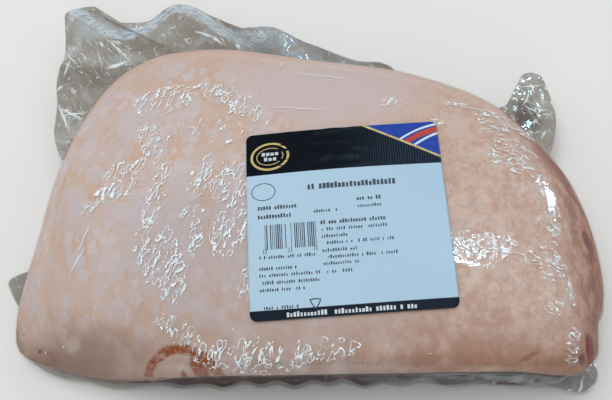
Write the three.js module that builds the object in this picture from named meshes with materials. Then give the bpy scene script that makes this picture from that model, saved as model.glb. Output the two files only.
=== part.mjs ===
// A vacuum-packed pork shoulder: a thick, flat joint of meat with its rind upwards, sealed in a clear
// pouch. The film clings to the joint all over, its spare edge stands out as a thin crumpled skirt, and a
// square paper label is stuck on top. Millimetres, +Z up. The joint lies on its flat underside with its
// long cut edge towards -Y. The plan is measured from a point under the label, and the whole pack is
// moved at the end so that the origin is at the middle of its base.
import * as THREE from "three";

// Driving sizes, in millimetres
const CROWN = 57.5; // the rind's highest point above the table
const CROWN_AT = { x: 12, y: -12 }; // where that point is
const FALL = { left: 6, right: 9, front: 8, back: 8 }; // how far the rind drops towards each side
const HALF = { left: 140, right: 138, front: 88, back: 85 }; // how far off each side is
const THIN_CORNER = { x: -0.8, y: -0.6, from: 76, over: 60, drop: 20 }; // the joint tapers at its front left
const FILM = 1.2; // two layers of crumpled film
const HEM = 1.8; // the seam's ridge where no spare film stands out
const UNDER = 11; // width of the rounding under the joint
const CUT = { recess: 2, tuck: 4 }; // how far the lean lies behind the rind's edge, midway and at its foot
const LABEL = { side: 89.5, corner: 3, thick: 0.4, gap: 0.3, x: 21.7, y: -19.9, turn: 5 };

// How finely each stretch of the pack is divided
const SPOKES = 160;
const RINGS = { top: 11, shoulder: 5, face: 3, root: 1, skirt: 4, under: 3, base: 2 };
const LABEL_CELLS = 20;
const CORNER_CELLS = 3;

// The joint's outline in plan, anticlockwise from the right-hand end
const OUTLINE = [
  [139.5, -44], [135.5, -11], [123, 19], [94, 51.5], [51, 70.5], [0, 79], [-43, 87.5], [-64, 88],
  [-85, 84], [-104, 72], [-118, 50], [-128.5, 16], [-139, -28], [-145.5, -58], [-141.5, -74],
  [-104, -86.5], [-56, -90], [19, -88], [95, -85], [121, -84], [131, -75], [135, -59],
];

// The joint's side at stations round the outline, by angle in degrees: the width of the rounded
// shoulder, the height where that shoulder ends, and the height where the rounding under it begins
const SIDES = [
  { at: 8, shoulder: 38, high: 24, low: 14 },
  { at: 29, shoulder: 32, high: 26, low: 16 },
  { at: 90, shoulder: 26, high: 30, low: 16 },
  { at: 135, shoulder: 28, high: 28, low: 16 },
  { at: 173, shoulder: 24, high: 24, low: 13 },
  { at: 192, shoulder: 26, high: 18, low: 11 },
  { at: 205, shoulder: 30, high: 12, low: 7 },
  { at: 220, shoulder: 24, high: 17, low: 6.5 },
  { at: 236, shoulder: 12, high: 34, low: 6.5 },
  { at: 250, shoulder: 8, high: 41, low: 6.5 },
  { at: 316, shoulder: 8, high: 41, low: 6.5 },
  { at: 327, shoulder: 13, high: 33, low: 6.5 },
  { at: 336, shoulder: 28, high: 22, low: 8 },
  { at: 343, shoulder: 40, high: 20, low: 13 },
];

// Where spare film stands out: the pouch's own back left corner, and three ears of bunched film.
// Each runs anticlockwise between two angles, through the points of its free edge
const TABS = [
  {
    from: 12,
    to: 33,
    edge: [[124, 38, 14], [127, 51, 14], [124, 69, 15], [117, 78.5, 16], [112, 76, 16], [108, 64.5, 14]],
  },
  {
    from: 54,
    to: 172,
    edge: [
      [41, 84, 19], [23, 87, 19], [-5, 101, 19], [-21, 108.5, 19], [-43, 111, 19], [-57, 118, 19],
      [-72, 125.5, 20], [-87, 126, 19], [-100, 119.5, 17], [-115, 120, 15], [-129, 127.5, 17],
      [-146, 129, 17], [-150.5, 122, 15], [-147.5, 99, 12], [-147, 71, 11], [-143, 43, 11],
    ],
  },
  { from: 192, to: 200, edge: [[-149, -35, 12], [-153, -39, 13], [-150, -46, 11]] },
  { from: 319, to: 333, edge: [[115, -84, 4], [130, -86, 4], [136.5, -79, 6]] },
];

const radians = THREE.MathUtils.degToRad;
const mix = THREE.MathUtils.lerp;

// A closed or open curve through points, with its turns as tight as the points are close
function curveThrough(points, closed) {
  const at = points.map(([x, y, z = 0]) => new THREE.Vector3(x, y, z));
  return new THREE.CatmullRomCurve3(at, closed, "centripetal");
}

// The distance from the plan's centre to the joint's outline, at any angle in degrees
const outlineSamples = curveThrough(OUTLINE, true)
  .getSpacedPoints(2880)
  .map((p) => ({ angle: turned(THREE.MathUtils.radToDeg(Math.atan2(p.y, p.x))), far: Math.hypot(p.x, p.y) }))
  .sort((a, b) => a.angle - b.angle);

function turned(angle) {
  return ((angle % 360) + 360) % 360;
}

// Finds the two stations round an angle, and how far the angle is between them
function between(stations, key, angle) {
  const next = stations.findIndex((s) => s[key] > angle);
  const b = stations[next < 0 ? 0 : next];
  const a = stations.at(next <= 0 ? -1 : next - 1);
  const span = turned(b[key] - a[key]) || 360;
  return { a, b, share: turned(angle - a[key]) / span };
}

function outlineRadius(angle) {
  const { a, b, share } = between(outlineSamples, "angle", turned(angle));
  return mix(a.far, b.far, share);
}

function sideAt(angle) {
  const { a, b, share } = between(SIDES, "at", turned(angle));
  const smooth = THREE.MathUtils.smoothstep(share, 0, 1);
  const value = (name) => mix(a[name], b[name], smooth);
  return { shoulder: value("shoulder"), high: value("high"), low: value("low") };
}

// The rind's height over the flat middle of the joint: a low dome with slight uneven swells
function crown(x, y) {
  const dx = x - CROWN_AT.x;
  const dy = y - CROWN_AT.y;
  const alongX = dx < 0 ? FALL.left * (dx / HALF.left) ** 2 : FALL.right * (dx / HALF.right) ** 2;
  const alongY = dy < 0 ? FALL.front * (dy / HALF.front) ** 2 : FALL.back * (dy / HALF.back) ** 2;
  const swell = 0.7 * Math.sin(x / 21 + 1.1) * Math.cos(y / 17 - 0.4);
  const out = THIN_CORNER.x * x + THIN_CORNER.y * y - THIN_CORNER.from;
  const taper = THIN_CORNER.drop * (Math.max(0, out) / THIN_CORNER.over) ** 2;
  return CROWN - alongX - alongY - taper + swell;
}

// The ridge of the seam, which gathers into small scallops along the front
function hem(angle) {
  const scallop = 0.9 * Math.sin(radians(angle * 34)) + 0.6 * Math.sin(radians(angle * 15 + 50));
  return Math.max(0.6, HEM + scallop);
}

// How much of the side is a cut face, from 0 where it is rounded to 1
function cutAt({ high, low }) {
  return THREE.MathUtils.clamp((high - low - 10) / 20, 0, 1);
}

function hemPoint(angle) {
  const side = sideAt(angle);
  const far = outlineRadius(angle) - CUT.tuck * cutAt(side) + hem(angle);
  const { low } = side;
  return [far * Math.cos(radians(angle)), far * Math.sin(radians(angle)), low * 0.62];
}

for (const tab of TABS)
  tab.curve = curveThrough([hemPoint(tab.from), ...tab.edge, hemPoint(tab.to)], false);

// The free edge of the film, at any angle
function filmEdge(angle) {
  const tab = TABS.find((t) => turned(angle) >= t.from && turned(angle) <= t.to);
  if (!tab) return new THREE.Vector3(...hemPoint(angle));
  return tab.curve.getPointAt((turned(angle) - tab.from) / (tab.to - tab.from));
}

// The crumple of the spare film: waves that grow towards its free edge
function crumple(edge, reach, share) {
  const waves = Math.sin(edge.x / 7 + edge.y / 19) + 0.6 * Math.sin(edge.y / 6 - edge.x / 23);
  return 1.5 * waves * Math.min(1, reach / 30) * Math.sin(share * Math.PI * 0.6);
}

// One section of the pack, from the top of the joint out to the film's edge and back underneath
function section(angle) {
  const far = outlineRadius(angle);
  const slope = (outlineRadius(angle + 2) - outlineRadius(angle - 2)) / radians(4);
  const slant = Math.min(1.7, Math.hypot(1, slope / far)); // a spoke meets the side at a slant
  const side = sideAt(angle);
  const { shoulder, high, low } = side;
  const along = new THREE.Vector3(Math.cos(radians(angle)), Math.sin(radians(angle)), 0);
  const at = (r, z) => along.clone().multiplyScalar(r).setZ(z);
  const height = (r) => crown(along.x * r, along.y * r);
  const points = [];

  const flat = far - shoulder * slant;
  for (let k = 1; k <= RINGS.top; k++) {
    const r = (flat * k) / RINGS.top;
    points.push(at(r, height(r)));
  }
  for (let k = 1; k <= RINGS.shoulder; k++) {
    const turn = (Math.PI / 2) * (k / RINGS.shoulder);
    const r = flat + shoulder * slant * Math.sin(turn);
    points.push(at(r, mix(high, height(r), Math.cos(turn))));
  }
  const cut = cutAt(side);
  const foot = far - CUT.tuck * cut;
  for (let k = 1; k <= RINGS.face; k++) {
    const share = k / RINGS.face;
    const recess = CUT.recess * cut * Math.sin(Math.PI * share);
    points.push(at(mix(far, foot, share) - recess, mix(high, low, share)));
  }

  // The seam runs round the joint partway down its lower rounding
  const seamTurn = Math.PI / 10;
  const rounding = (turn) =>
    at(foot - UNDER * slant * (1 - Math.cos(turn)), low * (1 - Math.sin(turn)));
  for (let k = 1; k <= RINGS.root; k++) points.push(rounding((seamTurn * k) / RINGS.root));
  const root = points.at(-1).clone();
  const edge = filmEdge(angle);
  const reach = Math.hypot(edge.x, edge.y) - far;
  const skirt = (share, drop) => {
    const p = root.clone().lerp(edge, share);
    p.z = mix(root.z, edge.z, share ** 1.5) + crumple(edge, reach, share) - drop;
    return p;
  };
  for (let k = 1; k <= RINGS.skirt; k++) points.push(skirt((k / RINGS.skirt) ** 1.1, 0));
  for (let k = RINGS.skirt; k >= 1; k--) points.push(skirt((k / RINGS.skirt) ** 1.1, FILM));
  const backTurn = Math.PI / 5;
  for (let k = 0; k < RINGS.under; k++)
    points.push(rounding(mix(backTurn, Math.PI / 2, k / (RINGS.under - 1))));
  for (let k = 1; k <= RINGS.base; k++) points.push(at((foot - UNDER * slant) * (1 - k / (RINGS.base + 1)), 0));
  return points;
}

// The angles of the sections, spaced evenly along the film's edge so that its waves are followed
function sectionAngles() {
  const steps = 1440;
  const lengths = [0];
  for (let i = 1; i <= steps; i++) {
    const a = filmEdge(((i - 1) * 360) / steps);
    const b = filmEdge((i * 360) / steps);
    lengths.push(lengths.at(-1) + Math.hypot(a.x - b.x, a.y - b.y) + 0.12);
  }
  const angles = [];
  for (let i = 0, j = 0; i < SPOKES; i++) {
    const goal = (lengths.at(-1) * i) / SPOKES;
    while (lengths[j + 1] < goal) j++;
    angles.push(((j + (goal - lengths[j]) / (lengths[j + 1] - lengths[j])) * 360) / steps);
  }
  return angles;
}

// Joins sections into one closed skin, with a point at the middle of the top and of the base. Each
// four-sided cell is split along its shorter diagonal
function skin(sections, top, base) {
  const count = sections[0].length;
  const points = [...sections.flat(), top, base];
  const apart = (a, b) => points[a].distanceTo(points[b]);
  const topIndex = sections.length * count;
  const index = [];
  sections.forEach((_, i) => {
    const a = i * count;
    const b = ((i + 1) % sections.length) * count;
    index.push(topIndex, a, b);
    for (let k = 0; k < count - 1; k++) {
      const [p, q, r, s] = [a + k, a + k + 1, b + k + 1, b + k];
      if (apart(p, r) < apart(q, s)) index.push(p, q, r, p, r, s);
      else index.push(p, q, s, q, r, s);
    }
    index.push(a + count - 1, topIndex + 1, b + count - 1);
  });
  const geometry = new THREE.BufferGeometry();
  geometry.setFromPoints(points);
  geometry.setIndex(index);
  geometry.computeVertexNormals();
  return geometry;
}

function bag() {
  const sections = sectionAngles().map(section);
  const geometry = skin(sections, new THREE.Vector3(0, 0, crown(0, 0)), new THREE.Vector3(0, 0, 0));
  const finish = new THREE.MeshStandardMaterial({ color: 0xc3a99d, roughness: 0.3, metalness: 0 });
  return named("bag", geometry, finish);
}

// How far the label reaches sideways at a share of its height, which rounds its corners
function labelHalfWidth(y) {
  const half = LABEL.side / 2;
  const past = Math.max(0, Math.abs(y) - (half - LABEL.corner));
  return half - LABEL.corner + Math.sqrt(Math.max(0, LABEL.corner ** 2 - past ** 2));
}

// The lines that divide the label, closer together where its corners are rounded
function labelRows() {
  const half = LABEL.side / 2;
  const rounded = Array.from({ length: CORNER_CELLS }, (_, k) =>
    half - LABEL.corner * (1 - Math.cos((Math.PI / 2) * (k / CORNER_CELLS))));
  const straight = Array.from({ length: LABEL_CELLS + 1 }, (_, k) =>
    mix(-1, 1, k / LABEL_CELLS) * (half - LABEL.corner));
  return [...rounded.map((y) => -y), ...straight, ...rounded.reverse()];
}

// A square sheet of paper with rounded corners, bent over the rind
function label() {
  const turn = radians(LABEL.turn);
  const rows = labelRows();
  const across = LABEL_CELLS + 1;
  const sheet = (lift) =>
    rows.flatMap((v) =>
      Array.from({ length: across }, (_, k) => {
        const u = mix(-1, 1, k / (across - 1)) * labelHalfWidth(v);
        const x = LABEL.x + u * Math.cos(turn) - v * Math.sin(turn);
        const y = LABEL.y + u * Math.sin(turn) + v * Math.cos(turn);
        return [u, v, crown(x, y) + LABEL.gap + lift];
      }),
    );
  const positions = [...sheet(LABEL.thick), ...sheet(0)].flat();
  const lower = rows.length * across;
  const index = [];
  const quad = (a, b, c, d) => index.push(a, b, c, a, c, d);
  for (let j = 0; j < rows.length - 1; j++)
    for (let i = 0; i < across - 1; i++) {
      const a = j * across + i;
      quad(a, a + 1, a + across + 1, a + across);
      quad(lower + a, lower + a + across, lower + a + across + 1, lower + a + 1);
    }
  const rim = [
    ...Array.from({ length: across - 1 }, (_, i) => i),
    ...Array.from({ length: rows.length - 1 }, (_, j) => j * across + across - 1),
    ...Array.from({ length: across - 1 }, (_, i) => rows.length * across - 1 - i),
    ...Array.from({ length: rows.length - 1 }, (_, j) => (rows.length - 1 - j) * across),
  ];
  rim.forEach((a, k) => {
    const b = rim[(k + 1) % rim.length];
    quad(a, a + lower, b + lower, b);
  });
  const geometry = new THREE.BufferGeometry();
  geometry.setAttribute("position", new THREE.Float32BufferAttribute(positions, 3));
  geometry.setIndex(index);
  geometry.computeVertexNormals();
  const finish = new THREE.MeshStandardMaterial({ color: 0xaacde4, roughness: 0.55, metalness: 0 });
  const mesh = named("label", geometry, finish);
  mesh.position.set(LABEL.x, LABEL.y, 0);
  mesh.rotation.z = turn;
  return mesh;
}

function named(name, geometry, material) {
  const mesh = new THREE.Mesh(geometry, material);
  mesh.name = name;
  return mesh;
}

const pack = new THREE.Group();
pack.add(bag(), label());

// The origin goes to the middle of the pack's base
const box = new THREE.Box3().setFromObject(pack);
const middle = box.getCenter(new THREE.Vector3());
pack.position.set(-middle.x, -middle.y, 0);

export default pack;
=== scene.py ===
"""A vacuum-packed pork shoulder, in metres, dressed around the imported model.

The joint of meat lies rind up in a clear pouch. The film is drawn tight over the joint and crumples where
it is spare, and a square paper label is stuck on top. Plan sizes are in millimetres on the plan that the
joint's outline is drawn on, and PLAN_MIDDLE puts that plan in the frame.
"""
import math

import bpy
import numpy as np
from mathutils import Matrix, Vector, noise


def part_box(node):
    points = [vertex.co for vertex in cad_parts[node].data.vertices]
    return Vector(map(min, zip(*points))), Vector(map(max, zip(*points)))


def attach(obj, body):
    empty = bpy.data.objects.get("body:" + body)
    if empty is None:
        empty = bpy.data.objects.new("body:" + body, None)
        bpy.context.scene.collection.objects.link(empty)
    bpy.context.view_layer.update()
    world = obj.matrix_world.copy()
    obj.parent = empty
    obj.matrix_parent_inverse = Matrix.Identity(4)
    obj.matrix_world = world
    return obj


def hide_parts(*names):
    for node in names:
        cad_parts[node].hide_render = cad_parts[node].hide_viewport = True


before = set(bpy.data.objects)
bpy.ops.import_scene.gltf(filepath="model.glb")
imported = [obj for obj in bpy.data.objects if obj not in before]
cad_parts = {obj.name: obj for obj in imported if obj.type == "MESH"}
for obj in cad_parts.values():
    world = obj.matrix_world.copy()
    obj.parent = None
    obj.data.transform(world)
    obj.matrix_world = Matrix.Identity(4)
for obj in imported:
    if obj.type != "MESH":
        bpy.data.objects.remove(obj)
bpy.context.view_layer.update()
scene = bpy.context.scene
scene.view_settings.view_transform = "Standard"
MM = 0.001

# Camera. Held by hand over the front of the pack and a little to its right, tipped steeply down. Its place
# and lens are worked out from the square label's four corners in the photograph.
LABEL_MIDDLE = (21.7, -19.9)
label_low, label_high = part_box("label")
PLAN_MIDDLE = Vector((
    (label_low[0] + label_high[0]) / 2 - LABEL_MIDDLE[0] * MM,
    (label_low[1] + label_high[1]) / 2 - LABEL_MIDDLE[1] * MM,
    0.0,
))
LOOKS_AT = PLAN_MIDDLE + Vector((0, 0, 28.4 * MM))
TO_CAMERA = Vector((0.10, -0.395, 0.91)).normalized()
CAMERA_FAR = 375 * MM
FOCAL_PIXELS = 760
FRAME_PIXELS = 612
SENSOR_WIDE = 36.0

camera_data = bpy.data.cameras.new("camera")
camera_data.sensor_width = SENSOR_WIDE
camera_data.lens = SENSOR_WIDE * FOCAL_PIXELS / FRAME_PIXELS
camera_data.clip_start = 0.01
camera = bpy.data.objects.new("camera", camera_data)
scene.collection.objects.link(camera)
camera_right = (Vector((1, 0, 0)) - TO_CAMERA.x * TO_CAMERA).normalized()
camera_up = TO_CAMERA.cross(camera_right)
camera_axes = Matrix((camera_right, camera_up, TO_CAMERA)).transposed().to_4x4()
camera.matrix_world = Matrix.Translation(LOOKS_AT + TO_CAMERA * CAMERA_FAR) @ camera_axes
scene.camera = camera

# Lean. The shoulder's muscle, boned and trimmed flat: dark red, moist, with pale seams of fat between its
# bundles. It shows at the long front cut and underneath, and lies a little behind the rind's edge.
OUTLINE = [
    (139.5, -44), (135.5, -11), (123, 19), (94, 51.5), (51, 70.5), (0, 79), (-43, 87.5), (-64, 88),
    (-85, 84), (-104, 72), (-118, 50), (-128.5, 16), (-139, -28), (-145.5, -58), (-141.5, -74),
    (-104, -86.5), (-56, -90), (19, -88), (95, -85), (121, -84), (131, -75), (135, -59),
]
# The angle of a station, the width of its rounded shoulder, the height where that shoulder ends, and the
# height where the rounding under it begins
SIDES = np.array([
    (8, 38, 24, 14), (29, 32, 26, 16), (90, 26, 30, 16), (135, 28, 28, 16), (173, 24, 24, 13),
    (192, 26, 18, 11), (205, 30, 12, 7), (220, 24, 17, 6.5), (236, 12, 34, 6.5), (250, 8, 41, 6.5),
    (316, 8, 41, 6.5), (327, 13, 33, 6.5), (336, 28, 22, 8), (343, 40, 20, 13),
], float)
# The rind's highest point, where it is, how far the rind drops towards each side, and how far off each is
CROWN = 57.5
CROWN_AT = (12, -12)
FALL = {"left": 6, "right": 9, "front": 8, "back": 8}
HALF = {"left": 140, "right": 138, "front": 88, "back": 85}
# The joint tapers at its front left: the way to that corner, where the taper starts, its length and its drop
TAPER_WAY = (-0.8, -0.6)
TAPER_FROM = 76
TAPER_LONG = 60
TAPER_DROP = 20
TOP_SWELLS = 0.7
UNDER = 11
CUT_RECESS = 2
CUT_TUCK = 4
CURVE_POINTS = 60
# How many points a line down the joint's side has on each of its stretches
LINE_POINTS = {"top": 60, "shoulder": 40, "face": 30, "under": 20, "base": 29}
LEAN_SPOKES = 300
LEAN_ROWS = 150
LEAN_LUMPS = (17, 0.9)
LEAN_INSET = 1.5
LEAN_UNDER_RIND = 8.0
LEAN_SLOPES_IN = 5
# Colours are as a screen shows them, from 0 to 255. A pair has a grain that runs from one to the other
LEAN_RED = ((52, 26, 28), (94, 50, 48))
LEAN_WET = (72, 54, 54)
SEAM_FAT = (170, 142, 130)
# The height of the rind's lower edge at each angle round the joint
RIND_EDGE = np.array([
    (8, 15), (29, 16), (60, 15), (90, 16), (135, 14), (173, 11), (192, 8), (205, 6), (222, 6), (232, 13),
    (244, 34), (255, 40), (312, 40), (322, 33), (332, 20), (343, 15),
], float)
HEM = 1.8
HEM_LEAST = 0.6
# Waves round the joint: how high each is, how many there are in a full turn, and where it starts in degrees
HEM_SCALLOPS = [(0.9, 34, 0), (0.6, 15, 50)]


def waves(angles, kinds):
    return sum(high * np.sin(np.radians(angles * count + start)) for high, count, start in kinds)


def hem_width(angles):
    """How far the seam stands out at the joint's foot, where lean and film bulge in small scallops."""
    return np.maximum(HEM_LEAST, HEM + waves(angles, HEM_SCALLOPS))


def smooth_curve(points, closed):
    """Close points on a curve that passes through the given ones."""
    points = np.array(points, float)
    if closed:
        line = np.vstack([points[-1:], points, points[:2]])
    else:
        line = np.vstack([2 * points[0] - points[1], points, 2 * points[-1] - points[-2]])
    gaps = np.sqrt(np.linalg.norm(np.diff(line, axis=0), axis=1))[:, None]
    a, b, c, d = line[:-3], line[1:-2], line[2:-1], line[3:]
    before, here, after = gaps[:-2], gaps[1:-1], gaps[2:]
    leave = ((b - a) / before - (c - a) / (before + here) + (c - b) / here) * here
    arrive = ((c - b) / here - (d - b) / (here + after) + (d - c) / after) * here
    t = np.linspace(0, 1, CURVE_POINTS, endpoint=False)[:, None, None]
    curve = (b + leave * t + (3 * (c - b) - 2 * leave - arrive) * t**2
             + (2 * (b - c) + leave + arrive) * t**3)
    curve = curve.transpose(1, 0, 2).reshape(-1, points.shape[1])
    return curve if closed else np.vstack([curve, points[-1:]])


outline_curve = smooth_curve(OUTLINE, closed=True)
outline_angles = np.degrees(np.arctan2(outline_curve[:, 1], outline_curve[:, 0])) % 360
outline_reach = np.hypot(outline_curve[:, 0], outline_curve[:, 1])


def outline_radius(angles):
    return np.interp(np.asarray(angles) % 360, outline_angles, outline_reach, period=360)


def stations(table, angles):
    """The values of a table of stations at any angles, eased between one station and the next."""
    once_more = table[:1].copy()
    once_more[0, 0] += 360
    table = np.vstack([table, once_more])
    angles = (np.asarray(angles) - table[0, 0]) % 360 + table[0, 0]
    first = np.clip(np.searchsorted(table[:, 0], angles, side="right") - 1, 0, len(table) - 2)
    share = (angles - table[first, 0]) / (table[first + 1, 0] - table[first, 0])
    eased = (share * share * (3 - 2 * share))[:, None]
    return (table[first, 1:] * (1 - eased) + table[first + 1, 1:] * eased).T


def crown(x, y):
    """The rind's height over the flat middle of the joint."""
    dx, dy = x - CROWN_AT[0], y - CROWN_AT[1]
    to_side = [np.where(gap < 0, FALL[low] * (gap / HALF[low]) ** 2, FALL[high] * (gap / HALF[high]) ** 2)
               for gap, low, high in ((dx, "left", "right"), (dy, "front", "back"))]
    into_corner = np.maximum(0, TAPER_WAY[0] * x + TAPER_WAY[1] * y - TAPER_FROM)
    taper = TAPER_DROP * (into_corner / TAPER_LONG) ** 2
    swells = TOP_SWELLS * np.sin(x / 21 + 1.1) * np.cos(y / 17 - 0.4)
    return CROWN - to_side[0] - to_side[1] - taper + swells


class Side:
    """The sizes of the joint's side at some angles, each a column so that a row can run down it."""

    def __init__(self, angles):
        far = outline_radius(angles)
        slope = (outline_radius(angles + 2) - outline_radius(angles - 2)) / math.radians(4)
        shoulder, high, low = stations(SIDES, angles)
        cut = np.clip((high - low - 10) / 20, 0, 1)
        self.x, self.y = np.cos(np.radians(angles))[:, None], np.sin(np.radians(angles))[:, None]
        self.far, self.high, self.low, self.cut = far[:, None], high[:, None], low[:, None], cut[:, None]
        self.slant = np.minimum(1.7, np.hypot(1, slope / far))[:, None]
        self.shoulder = shoulder[:, None] * self.slant
        self.foot = self.far - CUT_TUCK * self.cut

    def rounding(self, turn):
        """How far out and how high the rounding under the joint is, at a turn from 0 to a quarter."""
        return self.foot - UNDER * self.slant * (1 - np.cos(turn)), self.low * (1 - np.sin(turn))


def joint_lines(angles):
    """Close points down the joint's side at each angle, from the middle of the top to that of the base."""
    side = Side(angles)
    flat = side.far - side.shoulder
    top = flat * np.linspace(0, 1, LINE_POINTS["top"])
    turn = np.linspace(0, math.pi / 2, LINE_POINTS["shoulder"] + 1)[1:]
    over = flat + side.shoulder * np.sin(turn)
    down = np.linspace(0, 1, LINE_POINTS["face"] + 1)[1:]
    face = side.far + (side.foot - side.far) * down - CUT_RECESS * side.cut * np.sin(math.pi * down)
    under, under_height = side.rounding(np.linspace(0, math.pi / 2, LINE_POINTS["under"] + 1)[1:])
    base = under[:, -1:] * np.linspace(1, 0, LINE_POINTS["base"] + 1)[1:]
    heights = np.hstack([
        crown(side.x * top, side.y * top),
        side.high + (crown(side.x * over, side.y * over) - side.high) * np.cos(turn),
        side.high + (side.low - side.high) * down,
        under_height,
        np.zeros_like(base),
    ])
    reach = np.hstack([top, over, face, under, base])
    return np.stack([side.x * reach, side.y * reach, heights], axis=2)


def run_lengths(lines):
    """How far along its line each point is."""
    steps = np.linalg.norm(np.diff(lines, axis=1), axis=2)
    return np.hstack([np.zeros((len(lines), 1)), np.cumsum(steps, axis=1)])


def along_lines(lines, goals):
    """The points of each line at the lengths along it that a row of goals asks for."""
    lengths = run_lengths(lines)
    return np.stack([
        np.stack([np.interp(goal, length, line[:, axis]) for axis in range(3)], axis=1)
        for goal, length, line in zip(goals, lengths, lines)
    ])


def length_to_height(lines, heights):
    """How far along each line it sinks to a height, on its way down the side."""
    lengths = run_lengths(lines)
    found = []
    for line, length, height in zip(lines, lengths, heights):
        last = np.nonzero(line[:, 2] > height)[0][-1]
        found.append(np.interp(-height, -line[last:last + 2, 2], length[last:last + 2]))
    return np.array(found)


def outward(grid):
    """The outward directions of a grid of points that runs round the joint and down its side."""
    round_it = np.roll(grid, -1, axis=0) - np.roll(grid, 1, axis=0)
    normals = np.cross(np.gradient(grid, axis=1), round_it)
    return normals / np.maximum(np.linalg.norm(normals, axis=2, keepdims=True), 1e-9)


def relief(points, size, depth, seed, octaves=3):
    """Soft uneven swells, from about -depth to depth, at each point. The size may differ by axis."""
    places = points.reshape(-1, 3) / size + seed * 17.3
    values = [noise.fractal(Vector(place), 1.0, 2.0, octaves) for place in places]
    return depth * np.array(values).reshape(points.shape[:-1])


def foot_bulge(angles, grid):
    """How far the meat fills the seam's scallops along the cut, at each point of a grid."""
    cut = Side(angles).cut
    return cut * hem_width(angles)[:, None] * np.exp(-((grid[:, :, 2] - 5) / 3.2) ** 2)


def body_from(name, vertices, faces, uvs=None):
    """An object from points in plan millimetres. Its origin is the frame's, unturned."""
    mesh = bpy.data.meshes.new(name)
    placed = np.asarray(vertices, float) * MM + np.array(PLAN_MIDDLE)
    mesh.from_pydata(placed.tolist(), [], faces)
    if uvs is not None:
        corners = np.empty(len(mesh.loops), dtype=np.int32)
        mesh.loops.foreach_get("vertex_index", corners)
        layer = mesh.uv_layers.new(name="UVMap")
        layer.data.foreach_set("uv", np.asarray(uvs, np.float32)[corners].ravel())
    mesh.shade_smooth()
    piece = bpy.data.objects.new(name, mesh)
    scene.collection.objects.link(piece)
    return piece


def grid_faces(count, rows, closed_rows):
    """Four-sided faces between the spokes of a grid that closes on itself round the joint."""
    last = rows if closed_rows else rows - 1
    faces = []
    for i in range(count):
        a, b = i * rows, (i + 1) % count * rows
        faces += [(a + k, a + (k + 1) % rows, b + (k + 1) % rows, b + k) for k in range(last)]
    return faces


def closed_skin(name, grid):
    """A body from a grid that runs round it and from its top to its base, where points close it."""
    count, rows = grid.shape[:2]
    points = np.vstack([grid.reshape(-1, 3), grid[:, 0].mean(axis=0), grid[:, -1].mean(axis=0)])
    points[:, 2] = np.maximum(0, points[:, 2])
    top, base = count * rows, count * rows + 1
    faces = grid_faces(count, rows, closed_rows=False)
    for i in range(count):
        a, b = i * rows, (i + 1) % count * rows
        faces += [(top, a, b), (a + rows - 1, base, b + rows - 1)]
    return body_from(name, points, faces)


def ring_body(name, grid, uvs=None):
    """A body that runs round the joint, from a grid whose rows close on themselves."""
    uvs = None if uvs is None else uvs.reshape(-1, 2)
    return body_from(name, grid.reshape(-1, 3), grid_faces(*grid.shape[:2], closed_rows=True), uvs)


def add_node(tree, kind, inputs=(), **settings):
    """A node whose sockets are linked to others or set, by their names or in their order."""
    node = tree.nodes.new(kind)
    for key, value in settings.items():
        setattr(node, key, value)
    for key, value in inputs.items() if isinstance(inputs, dict) else enumerate(inputs):
        if isinstance(value, bpy.types.NodeSocket):
            tree.links.new(value, node.inputs[key])
        elif value is not None:
            node.inputs[key].default_value = value
    return node


def tone(shade):
    """A colour as a screen shows it, made linear."""
    return (*[((c / 255 + 0.055) / 1.055) ** 2.4 for c in shade], 1.0)


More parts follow.
